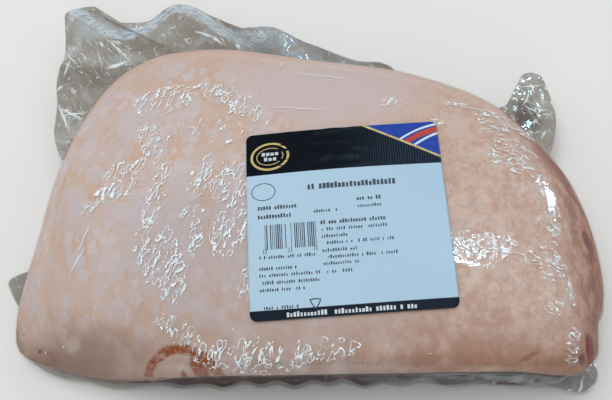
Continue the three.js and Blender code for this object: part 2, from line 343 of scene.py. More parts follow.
class Finish:
    """A material, with short ways to draw on the plan in millimetres."""

    def __init__(self, name):
        self.material = bpy.data.materials.new(name)
        self.material.use_nodes = True
        self.tree = self.material.node_tree
        self.tree.nodes.clear()
        self.output = self.add("ShaderNodeOutputMaterial")
        place = self.add("ShaderNodeTexCoord").outputs["Object"]
        self.plan = self.move(place, shift=[-c / MM for c in PLAN_MIDDLE], scale=[1 / MM] * 3)

    def add(self, kind, inputs=(), **settings):
        return add_node(self.tree, kind, inputs, **settings)

    def show(self, shader):
        """Makes a shader the one that the surface shows."""
        self.tree.links.new(shader.outputs[0], self.output.inputs["Surface"])
        return self.material

    def surface(self, colour, rough, specular=0.5, normal=None):
        """Shows an opaque surface."""
        return self.show(self.add("ShaderNodeBsdfPrincipled", {
            "Base Color": colour, "Roughness": rough, "Specular IOR Level": specular, "Normal": normal}))

    def math(self, operation, *values):
        return self.add("ShaderNodeMath", values, operation=operation).outputs[0]

    def joined(self, operation, values):
        """Any number of values joined by an operation, one after another."""
        so_far = values[0]
        for value in values[1:]:
            so_far = self.math(operation, so_far, value)
        return so_far

    def times(self, *values):
        return self.joined("MULTIPLY", values)

    def plus(self, *values):
        return self.joined("ADD", values)

    def most(self, *values):
        return self.joined("MAXIMUM", values)

    def gap(self, a, b):
        """How far apart two values are."""
        return self.math("ABSOLUTE", self.math("SUBTRACT", a, b))

    def ease(self, value, low, high, to_low=0.0, to_high=1.0):
        """to_low at low and before it, to_high at high and past it, and eased between."""
        inputs = {"Value": value, "From Min": low, "From Max": high, "To Min": to_low, "To Max": to_high}
        return self.add("ShaderNodeMapRange", inputs, interpolation_type="SMOOTHSTEP").outputs[0]

    def mix(self, share, *colours):
        """The first of two colours with a share of the second over it."""
        a, b = [tone(colour) if isinstance(colour, tuple) else colour for colour in colours]
        return self.add("ShaderNodeMix", {0: share, 6: a, 7: b}, data_type="RGBA").outputs[2]

    def move(self, place, turn=(0, 0, 0), scale=(1, 1, 1), shift=(0, 0, 0)):
        inputs = {"Vector": place, "Location": shift, "Rotation": turn, "Scale": scale}
        return self.add("ShaderNodeMapping", inputs).outputs[0]

    def stretched(self, angle, longer, place=None):
        """Places on which a pattern comes out longer along a direction on the plan."""
        turned = self.move(place or self.plan, turn=(0, 0, -angle))
        return self.move(turned, scale=(1 / longer, 1, 1))

    def axes(self, place):
        return self.add("ShaderNodeSeparateXYZ", [place]).outputs

    def stored(self, name):
        """A value that the mesh holds at each of its points."""
        return self.add("ShaderNodeAttribute", attribute_name=name).outputs["Fac"]

    def grain(self, size, detail=2.0, rough=0.5, place=None, warp=0.0):
        """Noise, from 0 to 1, with features of a size in millimetres."""
        inputs = {"Vector": place or self.plan, "Scale": 1 / size, "Detail": detail, "Roughness": rough,
                  "Distortion": warp}
        return self.add("ShaderNodeTexNoise", inputs).outputs["Fac"]

    def shaken(self, size, amount, place=None):
        """Places shaken by noise, so that what is drawn at them gets uneven edges."""
        place = place or self.plan
        shake = self.add("ShaderNodeTexNoise", {"Vector": place, "Scale": 1 / size, "Detail": 2.0})
        centred = self.add("ShaderNodeVectorMath", [shake.outputs["Color"], (0.5, 0.5, 0.5)],
                           operation="SUBTRACT").outputs[0]
        return self.add("ShaderNodeVectorMath", [centred, (2 * amount,) * 3, place],
                        operation="MULTIPLY_ADD").outputs[0]

    def reach(self, place, middle, radii=(1, 1), turn=0.0):
        """How far a place on the plan is from a middle, as a share of an oval's half-sizes."""
        centred = self.move(place, shift=(-middle[0], -middle[1], 0))
        turned = self.move(centred, turn=(0, 0, -turn), scale=(1, 1, 0))
        fitted = self.move(turned, scale=(1 / radii[0], 1 / radii[1], 0))
        return self.add("ShaderNodeVectorMath", [fitted], operation="LENGTH").outputs["Value"]

    def spot(self, place, middle, radii, turn=0.0, soft=0.3):
        """1 inside an oval on the plan and 0 outside it, with an edge as wide as a share of its size."""
        return self.ease(self.reach(place, middle, radii, turn), 1 + soft, 1 - soft)

    def strokes(self, place, lines):
        """1 on any of some tapering strokes, each from a start to an end with a half-width in millimetres."""
        drawn = 0.0
        for start, end, half_wide in lines:
            (x0, y0), (x1, y1) = start, end
            radii = (math.hypot(x1 - x0, y1 - y0) / 2, half_wide)
            middle = ((x0 + x1) / 2, (y0 + y1) / 2)
            stroke = self.spot(place, middle, radii, math.atan2(y1 - y0, x1 - x0), 0.5)
            drawn = self.most(drawn, stroke)
        return drawn

    def bump(self, height, depth):
        """Fine relief of a depth in millimetres, drawn by a height from 0 to 1."""
        return self.add("ShaderNodeBump", {"Height": height, "Distance": depth * MM}).outputs[0]


def lean_finish():
    finish = Finish("lean_pork")
    fibres = finish.stretched(1.3, 2.8)
    red = finish.mix(finish.grain(9, 4, 0.6, fibres), *LEAN_RED)
    wet = finish.mix(finish.ease(finish.grain(22, 2), 0.35, 0.65), red, LEAN_WET)
    seams = finish.add("ShaderNodeTexVoronoi", {"Vector": finish.shaken(14, 6, fibres), "Scale": 1 / 26},
                       feature="DISTANCE_TO_EDGE").outputs["Distance"]
    patchy = finish.ease(finish.grain(18, 1), 0.42, 0.6)
    fatty = finish.times(finish.ease(seams, 0.04, 0.01, 0, 0.6), patchy)
    normal = finish.bump(finish.grain(2.2, 4, 0.6, fibres), 0.35)
    return finish.surface(finish.mix(fatty, wet, SEAM_FAT), 0.45, 0.15, normal)


def make_lean():
    angles = np.arange(LEAN_SPOKES) * 360 / LEAN_SPOKES
    lines = joint_lines(angles)
    shares = np.linspace(0.012, 0.985, LEAN_ROWS)
    grid = along_lines(lines, run_lengths(lines)[:, -1:] * shares)
    (edge,) = stations(RIND_EDGE, angles)
    over_edge = (grid[:, :, 2] - edge[:, None] + LEAN_SLOPES_IN) / LEAN_SLOPES_IN
    covered = np.clip(over_edge, 0, 1) * (shares < 0.5)
    inset = LEAN_INSET + (LEAN_UNDER_RIND - LEAN_INSET) * covered
    lumps = relief(grid, *LEAN_LUMPS, 1)
    out = foot_bulge(angles, grid) - inset - lumps * (1 - covered)
    grid = grid + outward(grid) * out[:, :, None]
    piece = closed_skin("lean_meat", grid)
    piece.data.materials.append(lean_finish())
    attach(piece, "root")
    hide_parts("bag")


make_lean()

# Back fat. The firm white layer between the rind and the lean. Only its edge shows, as a pale line under
# the rind's rim, so it is a ring that runs round the joint just inside the film.
FAT_SPOKES = 420
FAT_ROWS = 9
FAT_INSET = 1.1
FAT_SHOWS = 3.2
FAT_HIDDEN = 5
FAT_DEEP = 6.0
FAT_ROLL = 1.2
FAT_WAVES = [(0.25, 7, 0), (0.15, 19, 0)]
RIM_WAVES = [(0.7, 11, 0), (0.5, 23, 40)]
ROLL_POINTS = 7
FAT_WHITE = ((176, 156, 142), (150, 128, 116))


def rim_lengths(lines, angles):
    """How far down each line the rind's edge is. The knife left it slightly wavy."""
    (height,) = stations(RIND_EDGE, angles)
    return length_to_height(lines, height + waves(angles, RIM_WAVES))


def rolled_edge(lines, ends, inset, thick, over):
    """Half a turn of points round the end of a layer, from its outer face to its inner one."""
    just_before = along_lines(lines, ends[:, None] + np.array([-0.8, -0.4, 0.0]))
    normal = outward(just_before)[:, 1:2]
    onward = just_before[:, 2:] - just_before[:, 1:2]
    onward /= np.linalg.norm(onward, axis=2, keepdims=True)
    turn = np.linspace(0, math.pi, ROLL_POINTS + 2)[1:-1][None, :, None]
    middle = just_before[:, 2:] - normal * (inset + thick / 2)
    return middle + normal * thick / 2 * np.cos(turn) + onward * over * np.sin(turn)


def fat_finish():
    finish = Finish("back_fat")
    normal = finish.bump(finish.grain(1.6, 3), 0.2)
    return finish.surface(finish.mix(finish.grain(6, 3), *FAT_WHITE), 0.5, 0.15, normal)


def make_fat():
    angles = np.arange(FAT_SPOKES) * 360 / FAT_SPOKES
    lines = joint_lines(angles)
    shows = FAT_SHOWS * (1 + waves(angles, FAT_WAVES))
    rim = rim_lengths(lines, angles)
    down = (shows + FAT_HIDDEN)[:, None] * np.linspace(0, 1, FAT_ROWS)
    outer = along_lines(lines, rim[:, None] - FAT_HIDDEN + down)
    normal = outward(outer)
    outer_face = outer - normal * FAT_INSET
    inner_face = (outer - normal * (FAT_INSET + FAT_DEEP))[:, ::-1]
    end = rolled_edge(lines, rim + shows, FAT_INSET, FAT_DEEP, FAT_ROLL)
    piece = ring_body("back_fat", np.hstack([outer_face, end, inner_face]))
    piece.data.materials.append(fat_finish())
    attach(piece, "root")
    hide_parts("bag")


make_fat()

# Rind. The pig's skin, scalded and scraped smooth, unscored: peach, with paler lilac patches where the film
# has lifted off it by a hair. A round inspection stamp is cut off by its front edge, and blood has dried in
# two places at the right. It is a thick cap with a rounded edge, just inside the film.
RIND_GAP = 0.8
RIND_THICK = 3.2
RIND_ROLL = 1.3
RIND_SPOKES = 480
RIND_ROWS = 90
RIND_SWELLS = (26, 0.1)
# The skin: peach on the left, brown on the right, and rosy where the blood shows through
PEACH = ((212, 190, 175), (205, 175, 158))
BROWN = ((219, 199, 188), (198, 167, 150))
ROSY = (204, 170, 152)
MOTTLED = (190, 150, 130)
CLOUDED = (208, 195, 189)
FRECKLED = (168, 132, 114)
# Its edges: painted shade low on the sides, the back rim, the front and the left corner; the right-hand end
# browner and blotched
LOW_SIDE_SHADE = ((164, 120, 98), (126, 92, 76))
BACK_RIM_SHADE = (186, 148, 124)
RIGHT_RIM = (174, 122, 96)
BLOTCHED = (124, 62, 40)
FRONT_SHADE_LEFT_TO_RIGHT = ((174, 144, 126), (158, 112, 86))
# The painted shade of the darkest corner: its middle, half-sizes, turn and softness, and its tone
LEFT_CORNER_SHADE = ((-118, -88), (40, 15), 0.1, 0.6)
LEFT_CORNER_SHADE_TONE = (120, 82, 60)
# The stamp: its ring, and the middle, half-sizes, turn and softness of each blot inside it
STAMP_MIDDLE = (-49.8, -99.8)
STAMP_RADIUS = 20.2
STAMP_BAND = 1.9
STAMP_BLOTS = [((-41.4, -86.3), (3.6, 5.5), 0.5, 0.3), ((-49.4, -89.6), (1.6, 2.2), 0.0, 0.4)]
STAMP_INK = (140, 66, 20)
# The way that the film's folds run on most of the joint, and the patches under them
FOLD_DIRECTION = math.radians(68)
# The layers of patches where the film has lifted: their size, least and most radius as shares of it, how far
# they cover the skin, and their tone
PATCH_LAYERS = [
    (17.0, 0.3, 0.8, 0.75, (207, 194, 192)),
    (10.0, 0.2, 0.72, 0.85, (205, 195, 198)),
    (5.0, 0.0, 0.66, 0.85, (211, 201, 203)),
]
# Each broad field of tone: its middle, its half-sizes, its strength and its tone
FIELDS = [
    ((14, 50), (40, 20), 0.9, (206, 190, 189)),
    ((-44, -38), (34, 30), 0.45, (176, 166, 168)),
    ((8, -76), (66, 12), 0.3, (190, 180, 180)),
]
# Each mark's middle and half-sizes on the plan, its turn, its strength and its colour
MARKS = [
    ((129.6, -24.3), (2.4, 5.0), 0.3, 0.9, (116, 36, 26)),
    ((124.6, -74.5), (2.2, 6.5), 0.1, 0.95, (116, 30, 20)),
    ((120.6, -79.0), (1.6, 1.8), 0.0, 0.8, (96, 48, 42)),
    ((133.0, -50.0), (3.0, 13.0), 0.0, 0.5, (150, 98, 74)),
    ((136.0, -56.0), (1.6, 8.0), -0.1, 0.9, (122, 42, 28)),
    ((-128.2, -74.9), (0.8, 0.7), 0.0, 0.9, (84, 56, 56)),
    ((-139.2, -66.6), (0.6, 0.5), 0.0, 0.7, (96, 70, 66)),
    ((98.2, -79.3), (4.2, 0.9), 0.45, 0.6, (140, 88, 62)),
    ((-106.0, -74.0), (5.0, 3.0), 0.5, 0.5, (190, 176, 168)),
]


def lifted_patches(finish, size, low, high, seed):
    """Uneven round-edged patches of many sizes and some paler than others, from one disc to each cell."""
    place = finish.stretched(FOLD_DIRECTION, 1.3, finish.shaken(size * 0.45, size * 0.3))
    place = finish.move(place, shift=(seed * 31.7, seed * 12.1, seed * 5.3))
    cells = finish.add("ShaderNodeTexVoronoi", {"Vector": place, "Scale": 1 / size, "Randomness": 0.95})
    random = finish.axes(cells.outputs["Color"])
    radius = finish.ease(random[0], 0, 1, low, high)
    inside = finish.math("SUBTRACT", radius, cells.outputs["Distance"])
    pale = finish.ease(random[1], 0, 0.7, 0.3, 1)
    return finish.times(finish.ease(inside, -0.1 / size, 0.3 / size), pale)


def bare_skin(finish, x, y):
    """Peach, browner towards the right and the front, and rosy where the blood shows through."""
    skin = finish.mix(finish.grain(24, 3, 0.55), *PEACH)
    streaks = finish.grain(5, 5, 0.65, finish.stretched(math.pi / 2, 1.5))
    brown = finish.mix(finish.ease(streaks, 0.3, 0.7), *BROWN)
    to_right = finish.ease(finish.plus(x, finish.times(y, -0.35)), 30, 110)
    skin = finish.mix(to_right, skin, brown)
    rosy = finish.grain(10, 4, 0.6, finish.move(finish.plan, shift=(40, 7, 3)))
    return finish.mix(finish.ease(rosy, 0.54, 0.68, 0, 0.6), skin, ROSY)


def patched(finish, skin, x, y):
    """Patches crowd the left and the middle, and the right is mottled and only faintly clouded."""
    crowded = finish.ease(finish.grain(34, 2, 0.5), 0.36, 0.56, 0.5, 1)
    off_back = finish.ease(finish.plus(y, finish.times(x, 0.12)), 80, 50)
    strength = finish.times(finish.ease(x, 60, 15), off_back, crowded)
    for seed, (size, low, high, cover, shade) in enumerate(PATCH_LAYERS):
        patches = lifted_patches(finish, size, low, high, seed + 1)
        skin = finish.mix(finish.times(patches, cover, strength), skin, shade)
    mottle = finish.ease(finish.grain(4, 5, 0.7, finish.shaken(9, 3)), 0.46, 0.6)
    skin = finish.mix(finish.times(mottle, finish.ease(x, 20, 70, 0.1, 0.5)), skin, MOTTLED)
    clouds = finish.ease(finish.grain(13, 5, 0.65), 0.48, 0.66)
    skin = finish.mix(finish.times(clouds, finish.ease(x, 10, 60, 0, 0.5)), skin, CLOUDED)
    for middle, radii, share, shade in FIELDS:
        field = finish.spot(finish.shaken(15, 4), middle, radii, soft=0.5)
        skin = finish.mix(finish.times(field, share), skin, shade)
    return finish.mix(finish.ease(finish.grain(1.3, 2, 0.5), 0.64, 0.74, 0, 0.4), skin, FRECKLED)


def shaded_and_blotched_edges(finish, skin, x, y, z):
    """Painted shade low on the sides, darkest at the left corner; the right-hand end browner and blotched."""
    # Painted shade: browner and darker lower down the sides, more towards the right
    low_side_shade = finish.times(finish.ease(z, 42, 16), finish.ease(x, -40, 90, 0.25, 0.95))
    skin = finish.mix(low_side_shade, skin, finish.mix(finish.grain(8, 4, 0.6), *LOW_SIDE_SHADE))
    # Painted shade: the back rim drawn darker low on its side
    back_rim_shade = finish.times(finish.ease(z, 50, 32), finish.ease(y, -20, 40))
    skin = finish.mix(finish.times(back_rim_shade, 0.6), skin, BACK_RIM_SHADE)
    right_rim = finish.times(finish.ease(z, 51, 36), finish.ease(x, 92, 116))
    skin = finish.mix(finish.times(right_rim, 0.95), skin, RIGHT_RIM)
    blotches = finish.ease(finish.grain(9, 4, 0.65, finish.stretched(-1.2, 1.6)), 0.42, 0.56)
    on_side = finish.ease(z, 24, 38, 0.3, 0.9)
    skin = finish.mix(finish.times(right_rim, blotches, on_side), skin, BLOTCHED)
    # Painted shade on the front slope, browner towards the right
    uneven = finish.ease(finish.grain(11, 3, 0.6), 0.3, 0.62, 0.35, 0.9)
    front_shade = finish.mix(finish.ease(x, 5, 65), *FRONT_SHADE_LEFT_TO_RIGHT)
    skin = finish.mix(finish.times(finish.ease(y, -48, -88), uneven), skin, front_shade)
    # Painted shade: the left corner drawn darkest
    corner = finish.spot(finish.shaken(9, 4), *LEFT_CORNER_SHADE)
    return finish.mix(finish.times(corner, 0.8), skin, LEFT_CORNER_SHADE_TONE)


def marked(finish, skin):
    """The stamp's ring and the blots inside it, and then dried blood, bruises and specks."""
    place = finish.shaken(3, 0.8)
    off_ring = finish.gap(finish.reach(place, STAMP_MIDDLE), STAMP_RADIUS)
    worn = finish.ease(finish.grain(4, 3, 0.6, finish.move(place, shift=(9, 9, 9))), 0.36, 0.5, 0.35, 1)
    ring = finish.times(finish.ease(off_ring, STAMP_BAND + 0.9, STAMP_BAND - 0.7), worn)
    blots = [finish.spot(place, *blot) for blot in STAMP_BLOTS]
    speckled = finish.ease(finish.grain(1.6, 3, 0.7), 0.3, 0.55, 0.45, 1)
    skin = finish.mix(finish.times(finish.most(ring, *blots), speckled), skin, STAMP_INK)
    for middle, radii, turn, strength, shade in MARKS:
        mark = finish.spot(place, middle, radii, turn, 0.4)
        skin = finish.mix(finish.times(mark, strength), skin, shade)
    return skin


def rind_finish():
    finish = Finish("pork_rind")
    x, y, z = finish.axes(finish.plan)
    skin = patched(finish, bare_skin(finish, x, y), x, y)
    skin = marked(finish, shaded_and_blotched_edges(finish, skin, x, y, z))
    return finish.surface(skin, 0.5, 0.15, finish.bump(finish.grain(1.1, 4, 0.6), 0.06))


def make_rind():
    angles = np.arange(RIND_SPOKES) * 360 / RIND_SPOKES
    lines = joint_lines(angles)
    rim = rim_lengths(lines, angles)
    outer = along_lines(lines, rim[:, None] * np.linspace(0.015, 1, RIND_ROWS))
    normal = outward(outer)
    swells = relief(outer, *RIND_SWELLS, 4)[:, :, None]
    outer_face = outer - normal * (RIND_GAP - swells)
    inner_face = (outer - normal * (RIND_GAP + RIND_THICK))[:, ::3][:, ::-1]
    end = rolled_edge(lines, rim, RIND_GAP, RIND_THICK, RIND_ROLL)
    piece = closed_skin("rind", np.hstack([outer_face, end, inner_face]))
    piece.data.materials.append(rind_finish())
    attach(piece, "root")
    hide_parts("bag")


make_rind()

# Pouch film. A clear plastic film, drawn tight on the joint by the vacuum. In places it is slack and lies in
# fine folds, which run away from the cut edge and, on the right, towards the pouch's end. A few long thin
# creases cross it.
# The glints on the folds' crests and along the long creases are painted highlights: thin pale lines in the
# film.
FILM_SPOKES = 420
FILM_SIDE_ROWS = 132
FILM_BASE_ROWS = 18
FOLD_LONG = 2.5
FOLD_DEEP = 0.6
# The folds' size in two kinds, the level of the noise that their crests follow, and half their width on it
FOLD_KINDS = [(3.5, 0.575, 0.027), (2.2, 0.595, 0.036)]
END_KINDS = [(2.6, 0.575, 0.028), (1.6, 0.6, 0.038)]
# How much higher that level is where the film is tight
FOLDS_END = 0.26
END_FOLDS = math.radians(-14)
FOLDS_TURN = (35, 70)
SWELL_SIZE = 24
SWELL_DEEP = 0.3
SLACK_LEAST = 0.18
TIGHT_BELOW = 26
SLACK_ABOVE = 34
FILM_CLEAR = (0.985, 0.985, 0.985, 1)
# The white of the painted highlights on the film's crests and creases, and of the painted sheen over the
# front cut
PAINTED_GLINT_WHITE = (236, 250, 255)
# How strongly tight film mirrors the room, and at most how much
GLOSS_GAIN = 2.0
GLOSS_MOST = 0.09
PLASTIC_IOR = 1.5
# Each slack place's middle and half-sizes on the plan, its turn and how slack the film is there
SLACK_PLACES = [
    ((-70, 44), (17, 8), 0.29, 0.9), ((-31, 40), (17, 6), -0.7, 0.9), ((-74, 20), (14, 6), -1.19, 0.8),
    ((-91, -4), (15, 6), 1.1, 0.9), ((-81, 0), (13, 3.5), 1.2, 0.9), ((-67.4, -10), (17, 4.5), 1.4, 1.2),
    ((-61, -41), (20, 10), -1.08, 1.1), ((-47, 0), (12, 6), 1.4, 0.8), ((-33, -3), (11, 9), 1.3, 1.1),
    ((-31, -26), (14, 8), 1.4, 1.1), ((-49, -18), (6, 3), 0.3, 0.9), ((-46, -31.5), (11, 3.5), 1.6, 0.9),
    ((-22, -52), (8, 3), 1.6, 1.0), ((-50, -72.5), (14, 4.5), -0.58, 1.1), ((-18, -82), (26, 6.5), 0, 1.1),
    ((12, -79), (16, 5), 0.03, 1.0), ((-99, -14), (6, 2.5), 0.8, 0.9), ((-43, 26), (30, 12), 0.2, 0.5),
    ((90, 31), (9, 7), -0.5, 0.8), ((96, 14), (11, 10), 0, 0.75), ((108.7, 0), (12, 3.5), -1.17, 0.7),
    ((112.7, -20), (10, 4), 1.5, 0.75), ((109, -34), (7, 4), 0, 0.65), ((108, -40), (12, 7), -0.65, 0.65),
    ((116.5, -50), (8, 2), -1.25, 1.1), ((110, -59), (4, 3), 0, 1.0), ((117, -75), (9, 3), 1.4, 1.0),
    ((79.7, -33), (15, 6), -0.1, 1.5), ((91, -30), (5, 4), 0, 0.6), ((70.6, 40), (8, 1.5), 0, 0.8),
    ((105, 29), (6, 3), -0.6, 1.0), ((-51, 49), (13, 4.5), -0.1, 0.75),
    ((42, 40.5), (6, 2.5), 0.2, 0.8), ((60, 28), (8, 2.5), 0.1, 0.75),
]
# The start, the end and the half-width of each long crease, drawn with a painted highlight along it
CREASES = [
    ((72.9, 38.3), (91.4, 37.8), 0.35), ((92.2, 36.6), (94.3, 28.9), 0.3), ((91.5, 38.6), (98.1, 34.7), 0.45),
    ((101.3, 31.6), (109.0, 26.8), 0.5), ((103.4, 18.6), (110.6, 13.2), 0.35),
    ((-3.4, 59.2), (21.6, 55), 0.3), ((-16, 38), (10, 35.7), 0.25), ((117.1, -44.3), (118.4, -55.9), 0.35),
    ((-100.4, -34.1), (-107.6, -44.5), 0.5), ((-98.4, -22.7), (-102.6, -33.9), 0.5),
]


def folds_with_glinting_crests(finish, angle, slack, kinds, longer):
    """Thin lines round the tops of folds that run in a direction, each with a painted highlight along its
    crest.
    """
    crests_and_glints = 0.0
    for size, level, half_wide in kinds:
        field = finish.grain(size, 1.0, 0.45, finish.stretched(angle, longer), warp=0.4)
        level = finish.ease(slack, 0.12, 0.8, level + FOLDS_END, level)
        off = finish.gap(field, level)
        crests_and_glints = finish.most(crests_and_glints, finish.ease(off, half_wide, half_wide * 0.45))
    return crests_and_glints


def show_film(finish, solid, sheet, clear, normal, rough, gain, most):
    """Shows clear film with a share of it covered by a sheet, and the gloss of plastic over both."""
    through = finish.add("ShaderNodeBsdfTransparent", {"Color": clear})
    body = finish.add("ShaderNodeMixShader", [solid, through.outputs[0], sheet.outputs[0]])
    shine = finish.add("ShaderNodeBsdfGlossy", {"Roughness": rough, "Normal": normal})
    fresnel = finish.add("ShaderNodeFresnel", {"IOR": PLASTIC_IOR, "Normal": normal}).outputs[0]
    gloss = finish.math("MINIMUM", finish.times(fresnel, gain), most)
    return finish.show(finish.add("ShaderNodeMixShader", [gloss, body.outputs[0], shine.outputs[0]]))


def film_finish():
    finish = Finish("clear_film")
    x, y, z = finish.axes(finish.plan)
    slack = finish.stored("slack")
    on_joint = folds_with_glinting_crests(finish, FOLD_DIRECTION, slack, FOLD_KINDS, FOLD_LONG)
    at_end = folds_with_glinting_crests(finish, END_FOLDS, slack, END_KINDS, FOLD_LONG)
    crests_and_glints = finish.add("ShaderNodeMix", {0: finish.ease(x, *FOLDS_TURN), 2: on_joint, 3: at_end}).outputs[0]
    crests_and_glints = finish.times(crests_and_glints, finish.ease(finish.grain(3.0, 2), 0.36, 0.5, 0.3, 1))
    height = finish.plus(finish.times(crests_and_glints, 0.12), finish.times(finish.grain(2.2, 2), slack, 0.5))
    glinting_creases = finish.times(finish.strokes(finish.shaken(7, 0.8), CREASES), 0.5)
    # Painted highlights: the crests and the creases turn the film towards a pale white, which stands for
    # their glints
    painted_glints = finish.times(finish.most(crests_and_glints, glinting_creases), 0.96)
    # A painted sheen: the film over the front cut is drawn paler, more so towards the right
    on_cut = finish.times(finish.ease(z, 37, 30), finish.ease(y, -66, -80))
    sheen_breakup = finish.ease(finish.grain(8, 3), 0.35, 0.62, 0.3, 1)
    painted_sheen_on_cut = finish.times(on_cut, finish.times(finish.ease(x, 0, 80, 0.02, 0.3), sheen_breakup))
    pale = finish.add("ShaderNodeBsdfDiffuse", {"Color": tone(PAINTED_GLINT_WHITE)})
    return show_film(finish, finish.most(painted_glints, painted_sheen_on_cut), pale, FILM_CLEAR, finish.bump(height, FOLD_DEEP),
                     0.05, GLOSS_GAIN, GLOSS_MOST)


def slackness(points):
    """How slack the film is at each point, from 0 to 1 and a little more. It is tight low down the sides."""
    x, y, z = points[:, :, 0], points[:, :, 1], points[:, :, 2]
    slack = np.zeros(x.shape)
    for (middle_x, middle_y), (long, wide), turn, most in SLACK_PLACES:
        dx, dy = x - middle_x, y - middle_y
        along = (dx * math.cos(turn) + dy * math.sin(turn)) / long
        across = (dy * math.cos(turn) - dx * math.sin(turn)) / wide
        slack = np.maximum(slack, most * np.clip((1.35 - np.hypot(along, across)) / 0.6, 0, 1))
    up_the_side = np.clip((z - TIGHT_BELOW) / (SLACK_ABOVE - TIGHT_BELOW), 0, 1)
    slack *= up_the_side * (1 + relief(points, 9, 0.3, 15, 1))
    return np.maximum(SLACK_LEAST, slack)


def store(piece, name, values):
    """Keeps a value at each of a piece's points, for its material to read."""
    attribute = piece.data.attributes.new(name, "FLOAT", "POINT")
    attribute.data.foreach_set("value", values)


def make_pouch_film():
    angles = np.arange(FILM_SPOKES) * 360 / FILM_SPOKES
    lines = joint_lines(angles)
    shares = np.concatenate([
        np.linspace(0.008, 0.56, FILM_SIDE_ROWS), np.linspace(0.58, 0.985, FILM_BASE_ROWS)])
    above_base = shares < 0.6
    grid = along_lines(lines, run_lengths(lines)[:, -1:] * shares)
    out = relief(grid, SWELL_SIZE, SWELL_DEEP, 12, 1) * above_base + foot_bulge(angles, grid)
    piece = closed_skin("pouch_film", grid + outward(grid) * out[:, :, None])
    slack = (slackness(grid) * above_base).ravel()
    store(piece, "slack", np.concatenate([slack, slack[:1], [0.0]]))
    piece.data.materials.append(film_finish())
    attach(piece, "root")
    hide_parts("bag")


make_pouch_film()

# Spare film. Both layers of the pouch pressed together outside the seam: a corner of the pouch behind the
# joint, with its pale ribbed factory seal along the back, three ears of bunched film, and a narrow hem
# elsewhere. Where it is wide it is crumpled and dull, with bright thin creases, and the hem is clear.
# The glints on its creases and crumples, and the bright line along its cut edge, are painted highlights.
SEAM_TURN = math.pi / 10
SPARE_SPOKES = 1120
SPARE_ROWS = 40
EDGE_STEPS = 7200
SPARE_LOWEST = 0.5
# How far out the film reaches where it is loose, and where it is wide enough to swell
LOOSE_FILM = 8
WIDE_FILM = 30
SPARE_SWELLS = (21, 2.4)
SPARE_FINE = (6, 0.5)
FILM_THICK = 0.24
SEAL_HALF = 2.7
LOOSE_CLEAR = (0.9, 0.9, 0.88, 1)
LOOSE_GLOSS_MOST = 0.2
# The film's colours: olive, paler where it swells, brown and darker close to the joint as a painted shade,
# and bluish behind it
OLIVE = ((146, 139, 127), (180, 178, 170))
SWOLLEN = (192, 196, 194)
SHADE_BESIDE_JOINT = (122, 110, 97)
BEHIND_JOINT = (168, 180, 188)
# The seal's ribs, their pale blue partly a painted sheen
SEAL_RIBS_AND_SHEEN = ((154, 168, 178), (216, 228, 234))
# The white of the painted highlights on the creases and along the cut edge
PAINTED_CREASE_GLINT = (232, 240, 244)
# The factory seal's middle line on the plan
SEAL_LINE = [
    (-145.6, 127.8), (-137.6, 123.9), (-130.1, 118.7), (-123.9, 113.6), (-115.8, 111.6), (-108.1, 111.7),
    (-101.2, 113.6), (-96.8, 117.0), (-91.4, 121.8), (-85.8, 124.5), (-78.7, 125.0), (-70.7, 121.9),
    (-63.2, 117.5), (-56.3, 112.4), (-49.9, 108.4), (-40, 106), (-30, 104),
]
# The size, level and half-width of the crests of its crumples, as on the joint, and how they run
CRUMPLE_KINDS = [(6.5, 0.58, 0.02), (3.0, 0.6, 0.03)]
CRUMPLE_LONG = 2.4
CRUMPLES_TURN = math.radians(-50)
# Each shaded place, where the film is bunched, and where it lies over the joint's foot with a painted shadow:
# its middle, half-sizes, share and tone
FILM_SHADES = [
    ((112, 53), (7.5, 9), 0.8, (100, 88, 82)),
    ((-151, -40), (8, 10), 0.8, (164, 164, 156)),
    # A painted shadow, where the film lies beside the joint's foot
    ((-130, 84), (20, 9), 0.55, (112, 98, 86)),
    ((126, -84), (14, 8), 0.6, (156, 156, 154)),
    ((-133, 116), (10, 7), 0.6, (190, 200, 204)),
    ((-109, 96), (10, 4), 0.6, (186, 192, 192)),
]
# The start, the end and the half-width of each crease with a painted highlight: those of the corner and the
# back, and those of the right-hand ear and the front right tab, whose film has a material of its own
CORNER_CREASES = [
    ((-123.7, 109.9), (-104.4, 91.9), 0.5), ((-120.6, 109.2), (-112.7, 97.3), 0.35),
    ((-127.9, 103.1), (-122.9, 87.9), 0.3), ((-146.3, 100.9), (-138.9, 92.8), 0.5),
    ((-143.6, 83.6), (-143.6, 95.1), 0.6), ((-145.9, 66.6), (-136.1, 49.5), 0.7),
    ((-145.6, 65.5), (-129.9, 56.7), 0.5), ((-141.8, 59.8), (-128.4, 61.2), 0.6),
    ((-69.0, 111.6), (-59.5, 107.0), 0.7), ((-59.5, 107.0), (-53.2, 102.6), 0.7),
    ((-120.4, 90.6), (-108.6, 93.8), 1.3), ((-126.8, 107.6), (-124.7, 104.4), 0.8),
]
EAR_CREASES = [
    ((111.2, 70.3), (122.0, 71.9), 0.4), ((111.5, 60.5), (115.3, 68.7), 0.5),
    ((121.4, 68.3), (121.5, 61.4), 0.8), ((116.2, 59.2), (124.8, 57.3), 0.35),
    ((120.4, 55.4), (124.6, 54.6), 0.4), ((113.1, 60.0), (118.8, 56.4), 0.5),
    ((118.8, 56.4), (119.3, 53.9), 0.7), ((119.3, 41.4), (121.7, 46.2), 0.7),
    ((103.4, 59.1), (99.2, 54.1), 0.5),
    ((117, -88), (125, -84.5), 0.7), ((127, -87.5), (130, -79), 0.6), ((131, -86), (136.5, -81), 0.8),
]
# Where the right-hand ear's material takes over, in metres to the right of the frame's middle
EAR_FILM_FROM = 0.08
